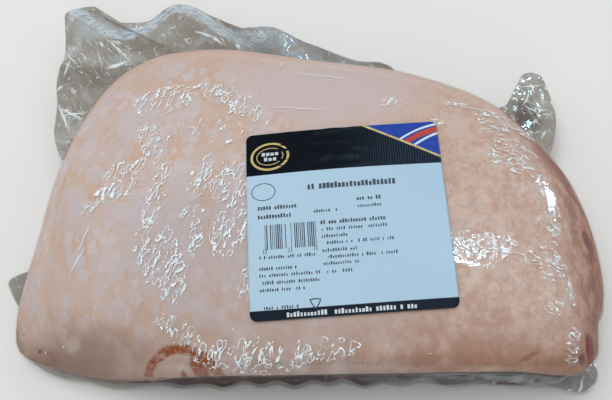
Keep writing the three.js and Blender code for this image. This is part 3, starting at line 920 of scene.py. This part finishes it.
# The angles between which each tab stands out, and the points of its free edge
TABS = [
    (12, 33, [
        (124.5, 37, 14), (127.3, 52, 14), (126, 61.5, 15), (123.4, 71.5, 15), (121, 76.2, 16),
        (117, 78.4, 16), (113, 78.2, 16), (110.4, 75.6, 16), (108.6, 68.6, 15), (105.6, 63.4, 14),
    ]),
    (54, 172, [
        (41, 84, 19), (23, 87, 19), (-5, 101, 19), (-21, 108.5, 19), (-43, 111, 19), (-57, 118, 19),
        (-72, 125.5, 20), (-87, 126, 19), (-99, 119.5, 17), (-113, 118.8, 16), (-121.5, 120, 16),
        (-125.8, 122.5, 17), (-130.5, 127.8, 17), (-146.5, 128.2, 17), (-149.4, 125.5, 17), (-149.6, 119, 15),
        (-147.5, 99, 12), (-147, 71, 11), (-143, 43, 11),
    ]),
    (192, 200, [(-149, -35, 12), (-153, -39, 13), (-150, -46, 11)]),
    (319, 333, [(115, -84, 4), (130, -86, 4), (136.5, -79, 6)]),
]


def hem_points(angles):
    """The free edge where no spare film stands out: a low ridge in small scallops."""
    side = Side(angles)
    far = side.foot + hem_width(angles)[:, None]
    return np.hstack([side.x * far, side.y * far, side.low * 0.62])


def film_edge(angles):
    edge = hem_points(angles)
    for start, end, points in TABS:
        line = np.vstack([hem_points(np.array([float(start)])), points, hem_points(np.array([float(end)]))])
        curve = smooth_curve(line, closed=False)[None]
        inside = (angles >= start) & (angles <= end)
        share = (angles[inside] - start) / (end - start)
        edge[inside] = along_lines(curve, [run_lengths(curve)[0, -1] * share])[0]
    return edge


def off_line(points, line):
    """How far each point is from a line on the plan."""
    curve = smooth_curve(line, closed=False)[::10]
    flat = points.reshape(-1, 3)[:, None, :2] - curve[None]
    return np.hypot(flat[:, :, 0], flat[:, :, 1]).min(axis=1).reshape(points.shape[:-1])


def loose_film_finish(name, glinting_creases):
    finish = Finish(name)
    unrolled = finish.add("ShaderNodeUVMap", uv_map="UVMap").outputs[0]
    inward = finish.axes(unrolled)[1]
    x, y = finish.axes(finish.plan)[:2]
    loose = finish.stored("loose")

    # Film: darker close to the joint as a painted shade, toned where it is bunched, with a painted shadow by
    # the joint's foot, and clouded behind the joint
    film = finish.mix(finish.grain(20, 2, 0.5), *OLIVE)
    swell = finish.ease(finish.grain(11, 3, 0.6, warp=0.6), 0.5, 0.66, 0, 0.7)
    film = finish.mix(swell, film, SWOLLEN)
    # Painted shade: the film drawn darker close to the joint
    film = finish.mix(finish.ease(inward, 24, 44, 0, 0.3), film, SHADE_BESIDE_JOINT)
    for middle, radii, share, shade in FILM_SHADES:
        shaded = finish.spot(finish.shaken(6, 2), middle, radii, 0.0, 0.5)
        film = finish.mix(finish.times(shaded, share), film, shade)
    behind = finish.times(finish.ease(x, -48, -38), finish.ease(x, 40, 20), finish.ease(y, 70, 82))
    clouded = finish.times(behind, finish.ease(finish.grain(8, 2), 0.38, 0.6))
    film = finish.mix(clouded, film, BEHIND_JOINT)

    # Seal: a ribbon with fine ribbed streaks along it, its pale blue partly a painted sheen
    uneven = finish.times(finish.math("SUBTRACT", finish.grain(9, 2), 0.5), 3.5)
    band = finish.ease(finish.plus(finish.stored("off_seal"), uneven), SEAL_HALF + 0.8, SEAL_HALF - 0.4)
    streaked = finish.move(unrolled, turn=(0, 0, 0.35), scale=(0.2, 1, 1))
    ribs = finish.grain(1.3, 3, 0.6, streaked, warp=0.5)
    seal = finish.mix(finish.ease(ribs, 0.35, 0.65), *SEAL_RIBS_AND_SHEEN)
    film = finish.mix(finish.times(band, 0.9), film, seal)

    # Creases: thin bright lines, small specks beside them, and the cut edge, which catches the light: all
    # painted highlights
    crease_and_glint = finish.strokes(finish.shaken(5, 1.2), glinting_creases)
    slack = finish.ease(finish.times(loose, finish.grain(13, 1)), 0.05, 0.6)
    crests_and_glints = folds_with_glinting_crests(finish, CRUMPLES_TURN, slack, CRUMPLE_KINDS, CRUMPLE_LONG)
    broken = finish.ease(finish.grain(4, 2), 0.42, 0.62, 0.15, 0.9)
    crease_and_glint = finish.most(crease_and_glint, finish.times(crests_and_glints, broken))
    line = finish.most(crease_and_glint, finish.ease(inward, 0.8, 0.3, 0, 0.6))
    film = finish.mix(finish.times(line, 0.9), film, PAINTED_CREASE_GLINT)

    height = finish.plus(finish.grain(9.0, 1.5, 0.5, warp=1.0), finish.times(ribs, band, 0.35))
    normal = finish.bump(finish.plus(height, finish.times(crease_and_glint, 0.5)), 0.7)
    sheet = finish.add("ShaderNodeBsdfDiffuse", {"Color": film, "Normal": normal})
    spare = finish.ease(loose, 0.25, 0.7, 0, 0.8)
    at_right = finish.ease(x, 20, 100, 0.1, 0.35)
    left_ear = finish.ease(x, -142, -147, 0, 0.75)
    solid = finish.most(spare, at_right, left_ear, finish.most(line, finish.times(band, 0.9)))
    return show_film(finish, solid, sheet, LOOSE_CLEAR, normal, 0.1, 1.0, LOOSE_GLOSS_MOST)


def crumples(sheet, edge, reach, share):
    """How far crumpling lifts or sinks the film at each point, most where it is widest."""
    x, y = edge[:, :, 0], edge[:, :, 1]
    ripples = np.sin(x / 7 + y / 19) + 0.6 * np.sin(y / 6 - x / 23)
    wide = np.minimum(1, reach / WIDE_FILM)
    long_ripples = 1.5 * ripples * wide * np.sin(share * math.pi * 0.6)
    swells = relief(sheet, *SPARE_SWELLS, 7, 1) * wide * share
    fine = relief(sheet, *SPARE_FINE, 9, 1) * np.minimum(1, reach / LOOSE_FILM) * np.minimum(1, share * 3)
    return long_ripples + swells + fine


def make_spare_film():
    steps = np.linspace(0, 360, EDGE_STEPS + 1)
    edge_steps = np.linalg.norm(np.diff(film_edge(steps % 360), axis=0), axis=1) + 0.03
    run = np.concatenate([[0], np.cumsum(edge_steps)])
    along = np.arange(SPARE_SPOKES) / SPARE_SPOKES * run[-1]
    angles = np.interp(along, run, steps)
    edge = film_edge(angles)[:, None]
    side = Side(angles)
    out, height = side.rounding(SEAM_TURN)
    root = np.stack([side.x * (out - 1), side.y * (out - 1), height], axis=2)
    share = np.linspace(0, 1, SPARE_ROWS)[None, :, None] ** 1.1
    sheet = root + (edge - root) * share
    sheet[:, :, 2:] = root[:, :, 2:] + (edge - root)[:, :, 2:] * share**1.5

    reach = np.maximum(0, np.hypot(edge[:, :, 0], edge[:, :, 1]) - side.far)
    sheet[:, :, 2] = np.maximum(SPARE_LOWEST, sheet[:, :, 2] + crumples(sheet, edge, reach, share[:, :, 0]))

    normal = outward(sheet) * FILM_THICK / 2
    inward = np.linalg.norm(edge - sheet, axis=2)
    uvs = np.stack([np.broadcast_to(along[:, None], inward.shape), inward], axis=2)
    piece = ring_body("spare_film", np.hstack([sheet + normal, (sheet - normal)[:, ::-1]]),
                      np.hstack([uvs, uvs[:, ::-1]]))
    off_seal = off_line(sheet, SEAL_LINE)
    store(piece, "loose", np.repeat(np.minimum(1, reach / LOOSE_FILM), 2 * SPARE_ROWS, axis=1).ravel())
    store(piece, "off_seal", np.hstack([off_seal, off_seal[:, ::-1]]).ravel())
    piece.data.materials.append(loose_film_finish("loose_film", CORNER_CREASES))
    piece.data.materials.append(loose_film_finish("ear_film", EAR_CREASES))
    for face in piece.data.polygons:
        face.material_index = face.center.x > EAR_FILM_FROM
    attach(piece, "root")
    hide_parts("bag")


make_spare_film()

# Label. A square of coated paper with rounded corners, stuck on the film and bent with the rind. It is pale
# blue, with a dark band along its top and its foot, creased at the top, and stripes across one corner.
LABEL_TURN = math.radians(5)
LABEL_HALF = 44.75
LABEL_CORNER = 3
LABEL_THICK = 0.4
LABEL_GAP = 0.3
LABEL_COLUMNS = 90
LABEL_STRAIGHT_ROWS = 86
LABEL_CORNER_ROWS = 7
RIB_PITCH = 1.15
# The size of the creases in its head, across it, up it and in depth
HEAD_CREASES = (17.0, 4.0, 9.0)
# Its colours: pale blue paper, a black head that is finely ribbed towards the right, and a dark foot
PAPER_LEFT_TO_RIGHT = ((176, 203, 222), (166, 196, 218))
PAPER_FIBRES = (170, 198, 218)
HEAD = ((6, 10, 18), (38, 54, 70))
FOOT = (20, 30, 42)
CORNER_BLUE = ((42, 80, 176), (34, 56, 140))
GOLD = ((150, 128, 66), (226, 214, 160))
HEAD_FOOT = 22.8
FOOT_HEAD = -40.4
# Where the band that crosses the corner starts and ends, and each stripe's ends, half-width and tone
CORNER_LINE = ((13.6, 43.3), (45.2, 25.8))
STRIPES = [
    ((28.1, 36.8), (45.1, 43.3), 0.5, (206, 220, 230)),
    ((31.0, 35.3), (45.1, 40.7), 1.4, (178, 74, 60)),
    ((33.9, 33.0), (45.0, 38.5), 0.55, (206, 220, 230)),
]
STRIPE_BEND = 0.014
# Half the width over which one printed colour turns into the next
PRINT_SOFT = 0.12


def label_surface(u, v):
    """The label's upper face at places measured along its own sides, in plan millimetres."""
    cos, sin = math.cos(LABEL_TURN), math.sin(LABEL_TURN)
    x = LABEL_MIDDLE[0] + u * cos - v * sin
    y = LABEL_MIDDLE[1] + u * sin + v * cos
    return np.stack([x, y, crown(x, y) + LABEL_GAP + LABEL_THICK], axis=-1)


def label_finish():
    finish = Finish("label_paper")
    place = finish.add("ShaderNodeUVMap", uv_map="UVMap").outputs[0]
    u, v = finish.axes(place)[:2]

    def past(line, bend=0.0):
        """How far past a line, on its left, a place is. The line may bulge to its left in a shallow arc."""
        (u0, v0), (u1, v1) = line
        length = math.hypot(u1 - u0, v1 - v0)
        nu, nv = -(v1 - v0) / length, (u1 - u0) / length
        away = finish.plus(finish.times(u, nu), finish.plus(finish.times(v, nv), -(u0 * nu + v0 * nv)))
        bulge = finish.times(finish.math("SUBTRACT", u, u0), finish.math("SUBTRACT", u1, u), bend)
        return finish.math("SUBTRACT", away, bulge)

    paper = finish.mix(finish.ease(u, -45, 45), *PAPER_LEFT_TO_RIGHT)
    paper = finish.mix(finish.grain(7, 3), paper, PAPER_FIBRES)
    ribbing = finish.math("SINE", finish.times(u, 2 * math.pi / RIB_PITCH))
    ribbed = finish.times(finish.ease(ribbing, -0.6, 0.8), finish.ease(u, -8, 30, 0.08, 1))
    in_head = finish.ease(v, HEAD_FOOT - PRINT_SOFT, HEAD_FOOT + PRINT_SOFT)
    colour = finish.mix(in_head, paper, finish.mix(ribbed, *HEAD))
    colour = finish.mix(finish.ease(v, FOOT_HEAD + PRINT_SOFT, FOOT_HEAD - PRINT_SOFT), colour, FOOT)
    away = past(CORNER_LINE)
    corner = finish.ease(away, -PRINT_SOFT, PRINT_SOFT)
    colour = finish.mix(corner, colour, finish.mix(finish.grain(3, 2), *CORNER_BLUE))
    for start, end, half_wide, shade in STRIPES:
        off = finish.math("ABSOLUTE", past((start, end), STRIPE_BEND))
        stripe = finish.ease(off, half_wide + PRINT_SOFT, half_wide - PRINT_SOFT)
        colour = finish.mix(finish.times(stripe, corner), colour, shade)
    gold_line = finish.ease(finish.math("ABSOLUTE", away), 0.62, 0.4)
    colour = finish.mix(gold_line, colour, finish.mix(finish.grain(2.5, 2), *GOLD))
    return finish.surface(colour, 0.34, 0.14, finish.bump(finish.grain(2.0, 3, 0.6), 0.03))


def make_label():
    straight = LABEL_HALF - LABEL_CORNER
    rounded = straight + LABEL_CORNER * np.sin(np.linspace(0, math.pi / 2, LABEL_CORNER_ROWS + 1))[1:]
    rows = np.concatenate([
        -rounded[::-1], np.linspace(-straight, straight, LABEL_STRAIGHT_ROWS), rounded])
    past = np.maximum(0, np.abs(rows) - straight)
    half_width = straight + np.sqrt(np.maximum(0, LABEL_CORNER**2 - past**2))
    v = np.repeat(rows[:, None], LABEL_COLUMNS, axis=1)
    u = half_width[:, None] * np.linspace(-1, 1, LABEL_COLUMNS)
    top = label_surface(u, v)
    creased = np.clip((v - HEAD_FOOT) / 4, 0, 1) * np.clip(1.4 - np.abs(u + 8) / 18, 0, 1)
    folds = np.abs(relief(np.stack([u, v, v * 0], axis=2), HEAD_CREASES, 1.0, 9, 2))
    top[:, :, 2] += creased * (0.45 - 1.5 * np.minimum(folds, 0.35))
    base = top - np.array([0, 0, LABEL_THICK])

    count, across = u.shape
    below = count * across
    faces = []
    for j in range(count - 1):
        for i in range(across - 1):
            a = j * across + i
            faces.append((a, a + 1, a + across + 1, a + across))
            faces.append((below + a, below + a + across, below + a + across + 1, below + a + 1))
    to_right = list(range(across - 1))
    upwards = [j * across for j in range(count - 1)]
    rim = [*to_right, *[a + across - 1 for a in upwards], *[below - 1 - a for a in to_right],
           *[below - across - a for a in upwards]]
    for a, b in zip(rim, rim[1:] + rim[:1]):
        faces.append((a, a + below, b + below, b))
    uvs = np.stack([u, v], axis=2).reshape(-1, 2)
    piece = body_from("label_sheet", np.vstack([top.reshape(-1, 3), base.reshape(-1, 3)]), faces,
                      np.vstack([uvs, uvs]))
    piece.data.materials.append(label_finish())
    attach(piece, "root")
    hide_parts("label")
    return piece


label_sheet = make_label()

# Print. Rows of small upright blocks, a bar code, a ring, a plain triangle and a gold oval with two rows of
# blocks in it. All are thin layers of ink that follow the paper.
INK_THICK = 0.05
INK_SINK = 0.02
LABEL_INK = (44, 52, 66)
WHITE_INK = (206, 216, 224)
PALE_INK = (196, 208, 214)
GOLD_INK = (206, 184, 112)
BLOCKS_KEPT = 0.86
# The height above the table, in metres, that the blocks are dropped from onto the label
DROPPED_FROM = 0.1
# Each style's rows by their start, end and foot on the label, the pitch of its blocks, how tall they are, and
# how wide as shares of the pitch
TYPE_ROWS = {
    "title": {"rows": [(-17.9, 22.2, 13.4)], "pitch": 1.7, "tall": (2.0, 3.0), "wide": (0.6, 0.85)},
    "bold": {
        "rows": [(-39.4, -21.4, 5.3), (-39.4, -25.3, 1.1), (5.4, 15.2, 6.5), (-11.4, 16.4, -3.6)],
        "pitch": 1.2, "tall": (1.2, 1.9), "wide": (0.55, 0.8),
    },
    "light": {
        "rows": [
            (-15.3, -4.4, 2.1), (5.5, 15.2, 3.1), (-39.6, -22.8, -22.8), (-39.7, -13.7, -25.8),
            (-39.5, -14.2, -29.1), (-39.6, -20.7, -32.3), (-11.2, 17, -6.7), (-11.4, -0.7, -9.9),
            (-9.2, 19.4, -13.0), (-11.3, 3.1, -16.4), (-9.2, 20.5, -19.4), (-11.3, 3.4, -22.3),
            (-11.2, 0.3, -26.0), (-39.3, -23.9, -40.2), (-40.5, -15.3, -17.7),
        ],
        "pitch": 1.05, "tall": (0.9, 1.6), "wide": (0.4, 0.7),
    },
    "bars": {"rows": [(-37.7, -14.3, -13.5)], "pitch": 0.82, "tall": (11.5, 11.5), "wide": (0.25, 0.72)},
    "guards": {
        "rows": [(-37.7, -36.6, -15.4), (-26.5, -25.4, -15.4), (-15.2, -14.1, -15.4)],
        "pitch": 0.8, "tall": (2.2, 2.2), "wide": (0.3, 0.4),
    },
}
EMBLEM_BARS = {
    "rows": [(-36.6, -30.4, 32.6), (-35.6, -31.4, 29.9)],
    "pitch": 2.0, "tall": (1.5, 1.9), "wide": (0.72, 0.86), "kept": 1.0,
}
# Each closed line's middle and sizes, and the width of its stroke
RING = ((-37, 14.2), (5.4, 4.2))
RING_STROKE = 0.35
TRIANGLE = ((-16.1, -38.4), 3.0)
TRIANGLE_STROKE = 0.5
TRIANGLE_ROUND = 0.25
EMBLEM_MIDDLE = (-33.6, 32.2)
EMBLEM_TURN = 0.1
EMBLEM_OVALS = {"label_emblem": ((8.6, 6.8), 1.1), "label_emblem_core": ((6.2, 4.4), 0.4)}
OVAL_POINTS = 64
TRIANGLE_POINTS = 48
FOOT_ROW = {"rows": [(-28.2, 26.2, -43.9)], "pitch": 1.45, "tall": (1.4, 2.2), "wide": (0.5, 0.8)}


def ink_finish(name, colour):
    finish = Finish(name)
    worn = tuple(c * 0.8 + 30 for c in colour)
    return finish.surface(finish.mix(finish.grain(1.5, 2), colour, worn), 0.4)


def type_setter():
    """A tree that sets upright blocks of uneven size along straight rows, and lays them on the label."""
    tree = bpy.data.node_groups.new("type_setter", "GeometryNodeTree")
    tree.is_modifier = True
    sockets = {}
    for name, kind in [
        ("Rows", "Geometry"), ("Pitch", "Float"), ("Shortest", "Float"), ("Tallest", "Float"),
        ("Narrowest", "Float"), ("Widest", "Float"), ("Blocks Kept", "Float"), ("Seed", "Int"),
        ("Ink Thickness", "Float"), ("Label", "Object"), ("Ink", "Material"),
    ]:
        socket = tree.interface.new_socket(name, in_out="INPUT", socket_type="NodeSocket" + kind)
        sockets[name] = socket.identifier
    tree.interface.new_socket("Print", in_out="OUTPUT", socket_type="NodeSocketGeometry")

    def add(kind, inputs=(), **settings):
        return add_node(tree, kind, inputs, **settings).outputs

    given = add("NodeGroupInput")

    def chance(low, high, seed_step):
        seed = add("ShaderNodeMath", [given["Seed"], seed_step], operation="ADD")[0]
        return add("FunctionNodeRandomValue", {2: low, 3: high, 8: seed}, data_type="FLOAT")[1]

    curve = add("GeometryNodeMeshToCurve", [given["Rows"]])[0]
    spaced = add("GeometryNodeResampleCurve", {"Curve": curve, "Length": given["Pitch"]}, mode="LENGTH")[0]
    chosen = {6: given["Blocks Kept"], 8: given["Seed"]}
    kept = add("FunctionNodeRandomValue", chosen, data_type="BOOLEAN")[3]
    cube = add("GeometryNodeMeshCube", {"Size": (1, 1, 1)})[0]
    block = add("GeometryNodeTransform", {"Geometry": cube, "Translation": (0, 0.5, 0)})[0]
    wide = chance(given["Narrowest"], given["Widest"], 1)
    tall = chance(given["Shortest"], given["Tallest"], 2)
    size = add("ShaderNodeCombineXYZ", [wide, tall, given["Ink Thickness"]])[0]
    blocks = add("GeometryNodeInstanceOnPoints", {
        "Points": spaced, "Selection": kept, "Instance": block, "Scale": size})[0]
    real = add("GeometryNodeRealizeInstances", [blocks])[0]
    place = PLAN_MIDDLE + Vector((*LABEL_MIDDLE, 0)) * MM
    placed = add("GeometryNodeTransform", {
        "Geometry": real, "Translation": place, "Rotation": (0, 0, LABEL_TURN)})[0]

    x, y, z = add("ShaderNodeSeparateXYZ", [add("GeometryNodeInputPosition")[0]])
    above = add("ShaderNodeCombineXYZ", [x, y, DROPPED_FROM])[0]
    target = add("GeometryNodeObjectInfo", {"Object": given["Label"]})["Geometry"]
    hit = add("GeometryNodeRaycast", {
        "Target Geometry": target, "Source Position": above, "Ray Direction": (0, 0, -1),
        "Ray Length": DROPPED_FROM})["Hit Position"]
    lift = add("ShaderNodeCombineXYZ", [0.0, 0.0, z])[0]
    laid = add("ShaderNodeVectorMath", [hit, lift], operation="ADD")[0]
    on_label = add("GeometryNodeSetPosition", {"Geometry": placed, "Position": laid})[0]
    inked = add("GeometryNodeSetMaterial", {"Geometry": on_label, "Material": given["Ink"]})[0]
    add("NodeGroupOutput", [inked])
    return tree, sockets


def set_type(name, tree, sockets, ink, seed, style):
    """Rows of print in one style, as a plain mesh."""
    mesh = bpy.data.meshes.new(name)
    ends = [(u * MM, v * MM, 0) for u0, u1, v in style["rows"] for u in (u0, u1)]
    mesh.from_pydata(ends, [(i, i + 1) for i in range(0, len(ends), 2)], [])
    rows = bpy.data.objects.new(name, mesh)
    scene.collection.objects.link(rows)
    modifier = rows.modifiers.new("type", "NODES")
    modifier.node_group = tree
    values = {
        "Pitch": style["pitch"] * MM, "Shortest": style["tall"][0] * MM, "Tallest": style["tall"][1] * MM,
        "Narrowest": style["wide"][0] * style["pitch"] * MM, "Widest": style["wide"][1] * style["pitch"] * MM,
        "Blocks Kept": style.get("kept", BLOCKS_KEPT), "Seed": seed, "Ink Thickness": 2 * INK_THICK * MM,
        "Label": label_sheet, "Ink": ink,
    }
    for key, value in values.items():
        modifier[sockets[key]] = value
    bpy.context.view_layer.update()
    evaluated = rows.evaluated_get(bpy.context.evaluated_depsgraph_get())
    printed = bpy.data.meshes.new_from_object(evaluated)
    bpy.data.objects.remove(rows)
    piece = bpy.data.objects.new(name, printed)
    scene.collection.objects.link(piece)
    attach(piece, "root")


def ring_mark(name, line, wide, ink):
    """A closed line of print, as wide as a pen's stroke, laid on the label."""
    line = np.array(line, float)
    onward = np.roll(line, -1, axis=0) - np.roll(line, 1, axis=0)
    across = np.stack([onward[:, 1], -onward[:, 0]], axis=1)
    across *= wide / 2 / np.linalg.norm(across, axis=1, keepdims=True)
    inner, outer = label_surface(*(line - across).T), label_surface(*(line + across).T)
    high, low = np.array([0, 0, INK_THICK]), np.array([0, 0, -INK_SINK])
    piece = ring_body(name, np.stack([inner + high, outer + high, outer + low, inner + low], axis=1))
    piece.data.materials.append(ink)
    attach(piece, "root")


def oval(middle, half_sizes, turn=0.0):
    angles = np.linspace(0, 2 * math.pi, OVAL_POINTS, endpoint=False)
    flat = np.stack([half_sizes[0] * np.cos(angles), half_sizes[1] * np.sin(angles)], axis=1)
    cos, sin = math.cos(turn), math.sin(turn)
    return np.array(middle) + flat @ np.array([[cos, sin], [-sin, cos]])


def rounded_triangle(middle, reach):
    """A triangle with its point upwards and softened corners."""
    angles = np.linspace(0, 2 * math.pi, TRIANGLE_POINTS, endpoint=False) + math.pi / 2
    to_side = (angles - math.pi / 6) % (2 * math.pi / 3) - math.pi / 3
    to_side = np.cos(math.pi / 3) / np.cos(to_side)
    far = reach * (to_side * (1 - TRIANGLE_ROUND) + 0.62 * TRIANGLE_ROUND)
    return np.array(middle) + np.stack([far * np.cos(angles), far * np.sin(angles)], axis=1)


def make_print():
    ink = ink_finish("label_ink", LABEL_INK)
    tree, sockets = type_setter()
    for seed, (name, style) in enumerate(TYPE_ROWS.items()):
        set_type("label_" + name, tree, sockets, ink, seed, style)
    set_type("label_foot_row", tree, sockets, ink_finish("white_ink", WHITE_INK), 11, FOOT_ROW)
    ring_mark("label_ring", oval(*RING), RING_STROKE, ink)
    ring_mark("label_triangle", rounded_triangle(*TRIANGLE), TRIANGLE_STROKE, ink)
    gold = ink_finish("gold_ink", GOLD_INK)
    for name, (half_sizes, stroke) in EMBLEM_OVALS.items():
        ring_mark(name, oval(EMBLEM_MIDDLE, half_sizes, EMBLEM_TURN), stroke, gold)
    set_type("label_emblem_bars", tree, sockets, ink_finish("pale_ink", PALE_INK), 5, EMBLEM_BARS)


make_print()

# Floor and light. A plain pale floor under soft light from above and weaker light from all round. A strip
# lamp on the ceiling and two windows light nothing: they only show mirrored in the film, as small glints.
FLOOR_TONE = (228, 228, 226)
WORLD_LIGHT = 0.27
KEY = (-0.35, 0.3, 2.1)
KEY_WIDE = 1.6
KEY_POWER = 28
FILLS = [(2.0, 0.6), (0.5, 2.0), (-2.0, 0.4), (0.0, -2.0)]
FILL_HIGH = 1.1
FILL_WIDE = 1.6
FILL_POWER = 8
GLARE = 90
CEILING = 1.5
# Each strip lamp's two ends and its width on the ceiling, as shares of the ceiling's height
STRIPS = [((0.18, 0.28), (0.34, 0.27), 0.06)]
# Each window's direction from the back towards the right and its height, in degrees, and its sizes in metres
WINDOWS = [(58, 20, 0.04, 0.25), (125, 26, 0.04, 0.1)]
WINDOW_FAR = 1.2
WHITE_LIGHT = (1.0, 1.0, 1.0)
GLINT_LIGHT = (0.5, 0.8, 1.0)
ROUND_LIGHT = (0.96, 0.98, 1.0, 1)
FLOOR_HALF = 3


def lamp(name, place, wide, long, power, glint=False, turn=None):
    """A flat lamp at a place in metres from the pack. A glint lamp shows only where it is mirrored."""
    data = bpy.data.lights.new(name, "AREA")
    data.shape = "RECTANGLE"
    data.size = wide
    data.size_y = long
    data.energy = power
    data.color = GLINT_LIGHT if glint else WHITE_LIGHT
    light = bpy.data.objects.new(name, data)
    light.location = LOOKS_AT + Vector(place)
    if turn is None:
        light.rotation_euler = Vector(place).to_track_quat("Z", "Y").to_euler()
    else:
        light.rotation_euler = (0, 0, turn)
    light.visible_diffuse = not glint
    light.visible_glossy = glint
    light.visible_camera = False
    scene.collection.objects.link(light)


def glint_lamp(name, place, wide, long, turn=None):
    lamp(name, place, wide, long, GLARE * math.pi * wide * long, glint=True, turn=turn)


def make_floor():
    mesh = bpy.data.meshes.new("floor")
    corners = [(x * FLOOR_HALF, y * FLOOR_HALF, 0) for x, y in ((-1, -1), (1, -1), (1, 1), (-1, 1))]
    mesh.from_pydata(corners, [], [(0, 1, 2, 3)])
    floor = bpy.data.objects.new("floor", mesh)
    scene.collection.objects.link(floor)
    mesh.materials.append(Finish("floor").surface(tone(FLOOR_TONE), 0.8))


make_floor()
lamp("soft_key", KEY, KEY_WIDE, KEY_WIDE, KEY_POWER)
for number, (x, y) in enumerate(FILLS):
    lamp(f"soft_fill_{number}", (x, y, FILL_HIGH), FILL_WIDE, FILL_WIDE, FILL_POWER)
for number, (start, end, wide) in enumerate(STRIPS):
    start, end = Vector((*start, 1.0)) * CEILING, Vector((*end, 1.0)) * CEILING
    onward = end - start
    turn = math.atan2(onward.y, onward.x)
    glint_lamp(f"strip_{number}", (start + end) / 2, onward.length, wide * CEILING, turn)
for number, (compass, high, wide, tall) in enumerate(WINDOWS):
    compass, high = math.radians(compass), math.radians(high)
    towards = Vector((math.sin(compass) * math.cos(high), math.cos(compass) * math.cos(high), math.sin(high)))
    glint_lamp(f"window_{number}", towards * WINDOW_FAR, wide, tall)
world = bpy.data.worlds.new("studio")
world.use_nodes = True
world.node_tree.nodes["Background"].inputs["Color"].default_value = ROUND_LIGHT
world.node_tree.nodes["Background"].inputs["Strength"].default_value = WORLD_LIGHT
scene.world = world
